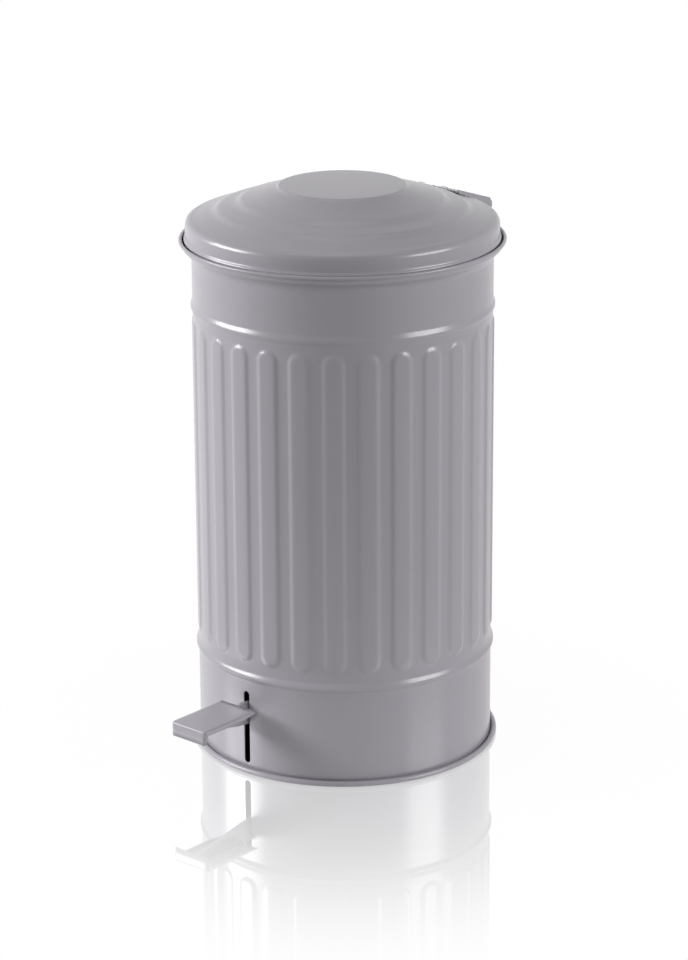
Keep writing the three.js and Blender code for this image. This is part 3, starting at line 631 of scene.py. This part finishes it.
def tube_surface(s):
    """The fluted sheet: its line turned about Z and pushed out by the flutes, with a wall on either side."""
    line = tube_line(s)
    angles, along = tube_columns(s)
    across = along[None, :]
    walls = []
    for side in (-0.5, 0.5):
        wall = sideways(line, side * s.sheet)
        r = wall[:, :1] + pressed_out(line[:, 1:], across, s)
        walls.append(np.stack([r * np.cos(angles), r * np.sin(angles), wall[:, 1:] + 0 * across], -1))
    loop = np.concatenate([walls[0], walls[1][::-1]])
    count, columns = len(line), len(angles)
    cells = grid_cells(2 * count, columns, True, True)
    off = (angles + math.pi / 2 + math.pi) % (2 * math.pi) - math.pi
    inside = np.flatnonzero(np.abs(off) * s.radius < WINDOW_HALF_WIDTH)
    order = inside[np.argsort(off[inside])]
    left, right = order[0], order[-1]
    low = np.flatnonzero(line[:, 1] > WINDOW_LOW)[0]
    high = np.flatnonzero(line[:, 1] < WINDOW_HIGH)[-1]
    gone = np.zeros(cells.shape[:2], bool)
    gone[low:high][:, order[:-1]] = True
    gone[2 * count - 1 - high : 2 * count - 1 - low][:, order[:-1]] = True
    up = np.arange(low, high)
    steps = len(order) - 1
    window_rows = np.concatenate([np.full(steps, low), up, np.full(steps, high), up[::-1] + 1])
    left_side, right_side = np.full(len(up), left), np.full(len(up), right)
    window_columns = np.concatenate([order[:-1], right_side, order[:0:-1], left_side])
    ring = slot_ring(walls, (window_rows, window_columns), s)
    return [(loop, cells[~gone]), ring]


class MakeTube(bpy.types.Operator):
    """Make the fluted tube with its two beads, collar, rolled rim and pedal slot"""

    bl_idname = "step_bin.tube"
    bl_label = "Tube"

    def execute(self, context):
        piece = put_mesh("tube_skin", tube_surface(context.scene.bin_tube), finishes()["paint"], "bin")
        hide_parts("body_shell")
        return {"FINISHED"}


class MakeBasePan(bpy.types.Operator):
    """Make the base pan with the rolled lip that the tube stands in"""

    bl_idname = "step_bin.base_pan"
    bl_label = "Base Pan"

    def execute(self, context):
        reach, top = span("base_pan")[1][0], span("base_pan")[1][2]
        roll = top / 2
        sheet, bend = 1.2 * MM, 1 * MM
        lip = arc((reach - roll, roll), roll, -90, 160, 16)
        well = [(reach - 2 * roll, sheet + bend), (reach - 2 * roll - bend, sheet)]
        loop = np.concatenate([[(0, 0)], [(reach - 3 * roll, 0)], lip, well, [(0, sheet)]])
        piece = put_mesh("base_pan_skin", [turned(loop, 224)], finishes()["paint"], "bin", smooth_to=40)
        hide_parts("base_pan")
        return {"FINISHED"}


# ---- Lid -------------------------------------------------------------------------------------------------


def lid_line(s):
    """Outside of the lid from its foot inwards: hem, skirt, shoulder, cone with two rings, flat disc."""
    # Every length is in millimetres here, and (radius, height) pairs become metres at the end
    low = span("lid_shell")[0][2] / MM
    skirt = s.skirt_radius / MM
    hem = s.hem_flare / MM
    foot = [
        (skirt + 0.8 * hem, low), (skirt + hem, low + 1), (skirt + hem, low + 4.6),
        (skirt + 0.75 * hem, low + 5.8), (skirt + 0.2 * hem, low + 7.1),
    ]
    wall = [(skirt, low + 9), (skirt, low + 13), (skirt - 0.1, low + 17)]
    shoulder = [(145.2, 505.2), (144, 507.6), (142, 509.1), (139.4, 509.9), (136.2, 510.7)]
    cone = [
        (128, 513.35), (121.8, 515.3), (118.6, 516.9), (115.8, 518.8), (112.6, 520), (104, 522.1),
        (99.6, 523.4), (96.6, 524.9), (93.8, 526.7), (90.6, 527.8), (80, 530.9), (70, 534.2),
    ]
    disc = [(62.6, 536.7), (60.6, 537.7), (59, 538.9), (56.9, 539.4), (40, 539.9), (15, 540.1), (0, 540.15)]
    return through(np.array(foot + wall + shoulder + cone + disc) * MM, 4)


class MakeLid(bpy.types.Operator):
    """Make the lid's skin with its hem, shoulder, two pressed rings and flat disc"""

    bl_idname = "step_bin.lid"
    bl_label = "Lid"

    def execute(self, context):
        s = context.scene.bin_lid
        skin = turned(sheet_loop(lid_line(s), s.sheet), 256)
        piece = put_mesh("lid_skin", [skin], finishes()["paint"], "lid", smooth_to=50)
        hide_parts("lid_shell")
        return {"FINISHED"}


# ---- Hinge -----------------------------------------------------------------------------------------------


def rivet_surface(radius, height, grip):
    """A rivet about Z: a domed head, its straight shank, and the flatter closed head at the other end."""
    head = arc((0, 0), 1, 90, 0, 8)[::-1] * [radius, height] + [0, grip / 2]
    closed = arc((0, 0), 1, 0, -90, 8)[::-1] * [radius * 0.92, height * 0.8] - [0, grip / 2]
    shank = np.array([(radius * 0.5, -grip / 2), (radius * 0.5, grip / 2)])
    return turned(np.concatenate([closed, shank, head]), 32)


def make_rivet(name, axis, body):
    """A domed rivet in the place of a frame node of that name."""
    low, high = span(name)
    axis = np.array(axis, float) / np.linalg.norm(axis)
    radius, head = 4 * MM, 1.4 * MM
    across = np.sqrt(np.maximum(1 - axis**2, 0))
    lengths = ((high - low) - 2 * radius * across) / np.maximum(np.abs(axis), 1e-9)
    total = lengths[int(np.argmax(np.abs(axis)))]
    grip = total - 2 * head
    points, cells = rivet_surface(radius * 0.98, head, grip)
    points = aimed(points, (low + high) / 2, axis)
    piece = put_mesh(name + "_domed", [(points, cells)], finishes()["zinc"], body, 50)
    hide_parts(name)


def make_hinge_pin(look):
    """The hinge pin, with both ends chamfered."""
    low, high = span("hinge_pin")
    radius = (high[2] - low[2]) / 2
    half = (high[0] - low[0]) / 2
    chamfer = 0.5 * MM
    side = [(radius, -half + chamfer), (radius, half - chamfer)]
    loop = np.array([(0, -half), (radius - chamfer, -half), *side, (radius - chamfer, half), (0, half)])
    points, cells = turned(loop, 40)
    points = aimed(points, (low + high) / 2, (1, 0, 0))
    pin = put_mesh("hinge_pin_turned", [(points, cells)], look, "bin", 25)
    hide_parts("hinge_pin")


def make_pin_cap(name, side, look):
    """A push-on cap with a domed crown, open towards the pin. Side is 1 for right and -1 for left."""
    low, high = span(name)
    outer = (high[2] - low[2]) / 2
    deep = high[0] - low[0]
    bore, floor = outer * 0.56, 0.3 * deep
    edge = 0.3 * MM
    dome = [(outer - 0.2 * MM, 0.55 * deep), (outer - 0.9 * MM, 0.85 * deep), (outer * 0.45, 0.98 * deep)]
    crown = through([*dome, (0, deep)], 5)
    shell = [(0, floor), (bore, floor), (bore, 0), (outer - edge, 0), (outer, edge), (outer, 0.35 * deep)]
    middle = (low + high) / 2
    start = np.array([low[0] if side > 0 else high[0], middle[1], middle[2]])
    points, cells = turned(np.concatenate([shell, crown]), 40)
    cap = put_mesh(name + "_domed", [(aimed(points, start, (side, 0, 0)), cells)], look, "bin", 40)
    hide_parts(name)


class MakeHinge(bpy.types.Operator):
    """Make the lid's folded leaf, the body's bracket, the hinge pin and its caps, all with rounded edges"""

    bl_idname = "step_bin.hinge"
    bl_label = "Hinge"

    def execute(self, context):
        looks = finishes()
        softened("lid_hinge_leaf", "lid", looks["paint"], 0.7 * MM)
        softened("body_hinge_bracket", "bin", looks["paint"], 0.5 * MM)
        softened("lid_crank_tab", "lid", looks["zinc"], 0.3 * MM)
        make_hinge_pin(looks["zinc"])
        for side, name in ((-1, "hinge_pin_cap_left"), (1, "hinge_pin_cap_right")):
            make_pin_cap(name, side, looks["paint"])
        return {"FINISHED"}


class MakeRivets(bpy.types.Operator):
    """Make the domed rivets of the leaf, the bracket and the bail's ears"""

    bl_idname = "step_bin.rivets"
    bl_label = "Rivets"

    def execute(self, context):
        slope = context.scene.bin_lid.slope
        for name in ("leaf_rivet_1", "leaf_rivet_2"):
            make_rivet(name, (0, math.sin(slope), math.cos(slope)), "lid")
        for name in ("bracket_rivet_1", "bracket_rivet_2", "bracket_rivet_3", "bracket_rivet_4"):
            low, high = span(name)
            middle = (low + high) / 2
            make_rivet(name, (middle[0], middle[1], 0), "bin")
        for side, name in ((-1, "bail_ear_rivet_left"), (1, "bail_ear_rivet_right")):
            make_rivet(name, (side, 0, 0), "liner")
        return {"FINISHED"}


# ---- Pedal -----------------------------------------------------------------------------------------------


def foot_plate_surface():
    """The foot plate: a flat top that bends down at both sides and, further, at the front.

    One parameter runs along the left side, round the front and back along the right side. The other runs
    from the middle line out to the bend, a quarter turn round the bend, and down to the hem. The hem is deep
    at the front, short at the sides and shorter still towards the back.
    """
    low, high = span("pedal_plate")
    half, back, front, top = high[0], high[1], low[1], high[2]
    corner = 4 * MM
    side_hem, end_hem, front_hem = 4.5 * MM, 2 * MM, top - low[2]
    end_length, bend_radius, least_drop = 18 * MM, 2.2 * MM, 0.3 * MM
    turn = np.radians(np.linspace(0, 90, 9))
    left_side = np.linspace(back, front + corner, 12)[:-1]
    edge = np.concatenate([
        np.stack([np.full_like(left_side, -half), left_side], -1),
        np.stack([-half + corner - corner * np.cos(turn), front + corner - corner * np.sin(turn)], -1),
        np.stack([np.linspace(-half + corner, half - corner, 18)[1:-1], np.full(16, front)], -1),
        np.stack([half - corner + corner * np.sin(turn), front + corner - corner * np.cos(turn)], -1),
        np.stack([np.full_like(left_side, half), left_side[::-1]], -1),
    ])
    outwards = np.stack([edge[:, 0] - np.clip(edge[:, 0], -half + corner, half - corner),
                         edge[:, 1] - np.maximum(edge[:, 1], front + corner)], -1)
    outwards /= np.linalg.norm(outwards, axis=1, keepdims=True)
    facing = np.clip(-outwards[:, 1], 0, 1)
    ease = np.clip(facing * 1.7, 0, 1)
    taper = np.clip((back - edge[:, 1]) / end_length, 0, 1)
    hem = end_hem + (side_hem - end_hem) * taper + (front_hem - side_hem) * ease * ease * (3 - 2 * ease)
    bend = np.minimum(bend_radius, hem - least_drop)
    inner = edge - outwards * bend[:, None]
    spine = np.stack([0 * edge[:, 0], np.maximum(edge[:, 1], front + half)], -1)
    rings = []
    for part in np.linspace(0, 1, 6)[:-1]:
        flat = spine * (1 - part) + inner * part
        rings.append(np.stack([flat[:, 0], flat[:, 1], np.full(len(flat), top)], -1))
    for angle in np.radians(np.linspace(0, 90, 7)):
        flat = inner + outwards * bend[:, None] * math.sin(angle)
        rings.append(np.stack([flat[:, 0], flat[:, 1], top - bend * (1 - math.cos(angle))], -1))
    for part in (0.5, 1.0):
        drop = bend + (hem - bend) * part
        rings.append(np.stack([edge[:, 0], edge[:, 1], top - drop], -1))
    points = np.array(rings)[:, ::-1]
    return points, grid_cells(*points.shape[:2])


class MakePedal(bpy.types.Operator):
    """Make the foot plate with its folded front and sides, and the lever with its pivot bracket"""

    bl_idname = "step_bin.pedal"
    bl_label = "Pedal"

    def execute(self, context):
        looks = finishes()
        plate = put_mesh("foot_plate_pressing", [foot_plate_surface()], looks["tread"], "pedal", 50)
        wall = plate.modifiers.new("sheet", "SOLIDIFY")
        wall.thickness = 1.5 * MM
        wall.offset = -1
        wall.use_even_offset = True
        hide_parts("pedal_plate")
        softened("pedal_lever", "pedal", looks["paint"], 0.4 * MM)
        softened("pedal_bracket", "bin", looks["zinc"], 0.4 * MM)
        return {"FINISHED"}


# ---- Bucket ----------------------------------------------------------------------------------------------


class MakeBucket(bpy.types.Operator):
    """Make the bucket with its rolled rim, the platform under it, and the bail's ears"""

    bl_idname = "step_bin.bucket"
    bl_label = "Bucket"

    def execute(self, context):
        looks = finishes()
        low, high = span("bucket")
        foot, top = low[2], high[2]
        roll, sheet, fillet = 2.3 * MM, 1 * MM, 6 * MM
        ring_height, ring_half, ring_rise = 64 * MM, 4 * MM, 0.8 * MM
        rim = top - roll
        base, mouth = 114 * MM, high[0] - 2 * roll + sheet
        corner = arc((base - fillet, foot + fillet), fillet, -90, -2, 8)
        ring = foot + ring_height
        below, above = [foot + 20 * MM, ring - ring_half], [ring + ring_half, rim - 60 * MM, rim - 20 * MM]
        wall_height = np.array([*below, ring, *above, rim - 3 * MM])
        wall = base + (wall_height - foot) / (rim - foot) * (mouth - base)
        wall[len(below)] += ring_rise
        side = np.stack([wall, wall_height], -1)
        outer = np.concatenate([[(0, foot)], corner, side])
        inner = sideways(outer, sheet)
        inner[0] = (0, foot + sheet)
        curl = arc((high[0] - roll, rim), roll, -125, 168, 14)
        loop = np.concatenate([outer, curl, inner[::-1]])
        bucket = put_mesh("bucket_skin", [turned(loop, 160)], looks["galvanized"], "liner", smooth_to=45)
        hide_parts("bucket")
        softened("bucket_platform", "bin", looks["galvanized"], 0.5 * MM)
        for name in ("bail_ear_left", "bail_ear_right"):
            softened(name, "liner", looks["galvanized"], 0.3 * MM)
        return {"FINISHED"}


class DressFittings(bpy.types.Operator):
    """Give every frame part that shows as it is its plated, painted, galvanized or moulded finish"""

    bl_idname = "step_bin.fittings"
    bl_label = "Fittings"

    def execute(self, context):
        looks = finishes()
        for part in frame["record"]["subparts"]:
            shown = frame["nodes"][part["node"]]
            shown.data.materials.clear()
            shown.data.materials.append(looks[part["material_slot"]])
        for name in ("push_rod", "rod_collar", "rod_cap", "bail_wire", "bail_grip", "pedal_pivot_pin"):
            shown = frame["nodes"][name]
            shown.data.shade_smooth()
            shown.data.set_sharp_from_angle(angle=math.radians(40))
        return {"FINISHED"}


# ---- Stage -----------------------------------------------------------------------------------------------

CAMERA_TURN = math.radians(41.2)


def towards(angle, rise=0.0):
    """A direction at an angle to the right of the camera's own, and above the floor, both in degrees."""
    a = CAMERA_TURN + math.radians(angle)
    e = math.radians(rise)
    return Vector((math.sin(a) * math.cos(e), -math.cos(a) * math.cos(e), math.sin(e)))


def make_camera():
    """The photograph's viewpoint: distance, height and tilt, a small roll, and a 123.5 mm lens."""
    distance, height, tilt, roll = 2.9602, 1.2334, math.radians(18.326), math.radians(-0.353)
    a = CAMERA_TURN
    level = Vector((-math.sin(a), math.cos(a), 0))
    right = Vector((math.cos(a), math.sin(a), 0))
    ahead = level * math.cos(tilt) - Vector((0, 0, math.sin(tilt)))
    above = level * math.sin(tilt) + Vector((0, 0, math.cos(tilt)))
    rolled_right = right * math.cos(roll) + above * math.sin(roll)
    rolled_above = above * math.cos(roll) - right * math.sin(roll)
    lens = bpy.data.cameras.new("camera")
    lens.lens = 123.5
    lens.sensor_width = 36
    made = bpy.data.objects.new("camera", lens)
    turn = Matrix((rolled_right, rolled_above, -ahead)).transposed().to_4x4()
    made.matrix_world = Matrix.Translation((distance * math.sin(a), -distance * math.cos(a), height)) @ turn
    bpy.context.scene.collection.objects.link(made)
    bpy.context.scene.camera = made


def make_lamp(name, direction, distance, width, height, power):
    """A rectangular lamp that faces the middle of the bin."""
    light = bpy.data.lights.new(name, "AREA")
    light.shape = "RECTANGLE"
    light.size, light.size_y = width, height
    light.energy = power
    made = bpy.data.objects.new(name, light)
    made.location = Vector((0, 0, 0.28)) + direction * distance
    made.rotation_euler = direction.to_track_quat("Z", "Y").to_euler()
    bpy.context.scene.collection.objects.link(made)


def seen_directly(tree, path):
    """1 for what the camera, a reflection or a refraction shows, and 0 for light that lands on matt."""
    sharp = maths(tree, "MAXIMUM", path["Is Camera Ray"], path["Is Glossy Ray"])
    return maths(tree, "MAXIMUM", sharp, path["Is Transmission Ray"])


def make_world(ambient):
    """An even grey light, which the camera, reflections and refractions see as white."""
    world = bpy.data.worlds.new("studio")
    world.use_nodes = True
    tree = world.node_tree
    background = tree.nodes["Background"]
    background.inputs["Strength"].default_value = 1.0
    path = tree.nodes.new("ShaderNodeLightPath").outputs
    seen = seen_directly(tree, path)
    grey = (ambient, ambient, ambient * 1.01, 1)
    tree.links.new(blend_colours(tree, seen, grey, (1, 1, 1, 1)), background.inputs["Color"])
    bpy.context.scene.world = world


def floor_material(mirror):
    """A white floor that glows white, keeps a little of the shadow, and mirrors the bin near its foot.

    The mirror's share falls smoothly with the distance from the bin's axis. It is lower for all but the
    camera, so that the lamps' images in the floor don't light up the foot of the tube. The matt part darkens
    outwards.
    """
    made = bpy.data.materials.new("white floor")
    made.use_nodes = True
    tree = made.node_tree
    tree.nodes.remove(tree.nodes["Principled BSDF"])
    out = tree.nodes["Material Output"]
    matt = node(tree, "BsdfDiffuse")
    glow = tree.nodes.new("ShaderNodeEmission")
    glow.inputs["Color"].default_value = (1, 1, 1, 1)
    path = tree.nodes.new("ShaderNodeLightPath").outputs
    seen = seen_directly(tree, path)
    lit = tree.nodes.new("ShaderNodeMixShader")
    where = tree.nodes.new("ShaderNodeTexCoord").outputs["Object"]
    far = tree.nodes.new("ShaderNodeVectorMath")
    far.operation = "LENGTH"
    tree.links.new(where, far.inputs[0])
    tree.links.new(remap(tree, far.outputs["Value"], 0.3, 0.9, 0.9, 0.3), matt.inputs["Color"])
    glowing = remap(tree, far.outputs["Value"], 0.16, 0.4, 0.95, 1.0)
    tree.links.new(maths(tree, "MULTIPLY", seen, glowing), lit.inputs[0])
    tree.links.new(matt.outputs[0], lit.inputs[1])
    tree.links.new(glow.outputs[0], lit.inputs[2])
    polish = node(tree, "BsdfGlossy", Roughness=0.03)
    polish.inputs["Color"].default_value = (1, 1, 1, 1)
    fade = tree.nodes.new("ShaderNodeMapRange")
    fade.interpolation_type = "SMOOTHERSTEP"
    for label, value in (("From Min", 0.12), ("From Max", 0.58), ("To Min", mirror), ("To Max", 0.0)):
        fade.inputs[label].default_value = value
    tree.links.new(far.outputs["Value"], fade.inputs["Value"])
    both = tree.nodes.new("ShaderNodeMixShader")
    unseen_share = 0.4
    shown = maths(tree, "MAXIMUM", path["Is Camera Ray"], unseen_share)
    tree.links.new(maths(tree, "MULTIPLY", fade.outputs["Result"], shown), both.inputs[0])
    tree.links.new(lit.outputs[0], both.inputs[1])
    tree.links.new(polish.outputs[0], both.inputs[2])
    tree.links.new(both.outputs[0], out.inputs["Surface"])
    return made


class SetStage(bpy.types.Operator):
    """Set the camera, the three lamps, the even light and the white floor"""

    bl_idname = "step_bin.stage"
    bl_label = "Stage"

    def execute(self, context):
        s = context.scene.bin_stage
        make_camera()
        make_lamp("left softbox", towards(-88, 18), 1.9, 1.1, 0.6, s.left_power)
        make_lamp("right softbox", towards(64, 18), 1.9, 1.0, 0.6, s.right_power)
        make_lamp("overhead softbox", Vector((0, 0, 1)), 2.3, 1.6, 1.6, s.top_power)
        make_world(s.ambient)
        reach, drop = 6.0, 0.2 * MM
        signs = ((-1, -1), (1, -1), (1, 1), (-1, 1))
        corners = [(x * reach, y * reach, -drop) for x, y in signs]
        mesh = bpy.data.meshes.new("floor")
        mesh.from_pydata(corners, [], [(0, 1, 2, 3)])
        mesh.materials.append(floor_material(s.floor_mirror))
        floor = bpy.data.objects.new("floor", mesh)
        context.scene.collection.objects.link(floor)
        context.scene.view_settings.view_transform = "Standard"
        return {"FINISHED"}


# ---- Panel and running -----------------------------------------------------------------------------------

GROUPS = {
    "bin_tube": TubeSettings,
    "bin_lid": LidSettings,
    "bin_finish": BinFinishSettings,
    "bin_stage": BinStageSettings,
}
OPERATORS = (
    DressFittings, MakeTube, MakeBasePan, MakeLid, MakeHinge, MakeRivets, MakePedal, MakeBucket, SetStage
)


class BinPanel(bpy.types.Panel):
    """Sizes, finishes and steps of the step-on bin"""

    bl_idname = "STEP_PT_bin"
    bl_label = "Step-on Bin"
    bl_space_type = "VIEW_3D"
    bl_region_type = "UI"
    bl_category = "Bin"

    def draw(self, context):
        for step in OPERATORS:
            self.layout.operator(step.bl_idname)
        for name, kind in GROUPS.items():
            box = self.layout.box()
            box.label(text=kind.__doc__)
            settings = getattr(context.scene, name)
            for key in kind.__annotations__:
                box.prop(settings, key)


def register():
    for kind in (*GROUPS.values(), *OPERATORS, BinPanel):
        bpy.utils.register_class(kind)
    for name, kind in GROUPS.items():
        setattr(bpy.types.Scene, name, bpy.props.PointerProperty(type=kind))


def unregister():
    for name in GROUPS:
        delattr(bpy.types.Scene, name)
    for kind in reversed((*GROUPS.values(), *OPERATORS, BinPanel)):
        bpy.utils.unregister_class(kind)


def main():
    """Register the add-on and run its steps in order."""
    register()
    for step in OPERATORS:
        family, name = step.bl_idname.split(".")
        getattr(getattr(bpy.ops, family), name)()
    bpy.context.view_layer.update()


if __name__ == "__main__":
    main()
